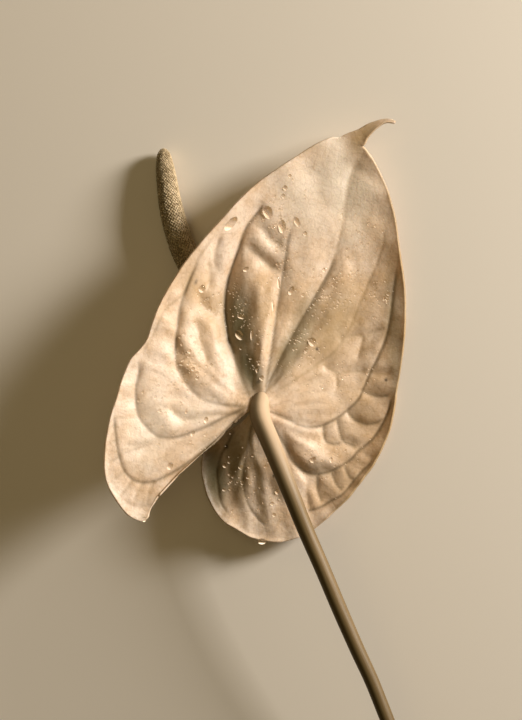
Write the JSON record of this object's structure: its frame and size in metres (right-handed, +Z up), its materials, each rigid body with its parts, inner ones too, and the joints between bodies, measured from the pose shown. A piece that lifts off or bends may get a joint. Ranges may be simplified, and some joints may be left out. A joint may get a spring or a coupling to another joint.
{
  "type": "cut anthurium stem",
  "caption": "Single cut anthurium flower: a heart-shaped spathe with impressed veins and a hooked tip, a slender spadix and a bare round stem, lying face down.",
  "frame": {"origin": "middle of the flower's bounding box, on the surface that it lies on", "axes": "+Y along the flower from the cut end of the stem towards the tip of the spathe, +Z up, away from the surface; the back of the spathe faces up"},
  "size_m": [0.1208, 0.385, 0.0351],
  "materials": {
    "stem": "satin plant skin with fine lengthwise ribs",
    "spathe": "waxy bract with sunken veins between puffed cells, wet with drops",
    "spadix": "close-set rows of small knobbed florets"
  },
  "bodies": {
    "root": {"peduncle": "stem", "spathe": "spathe", "spadix": "spadix"}
  },
  "joints": []
}
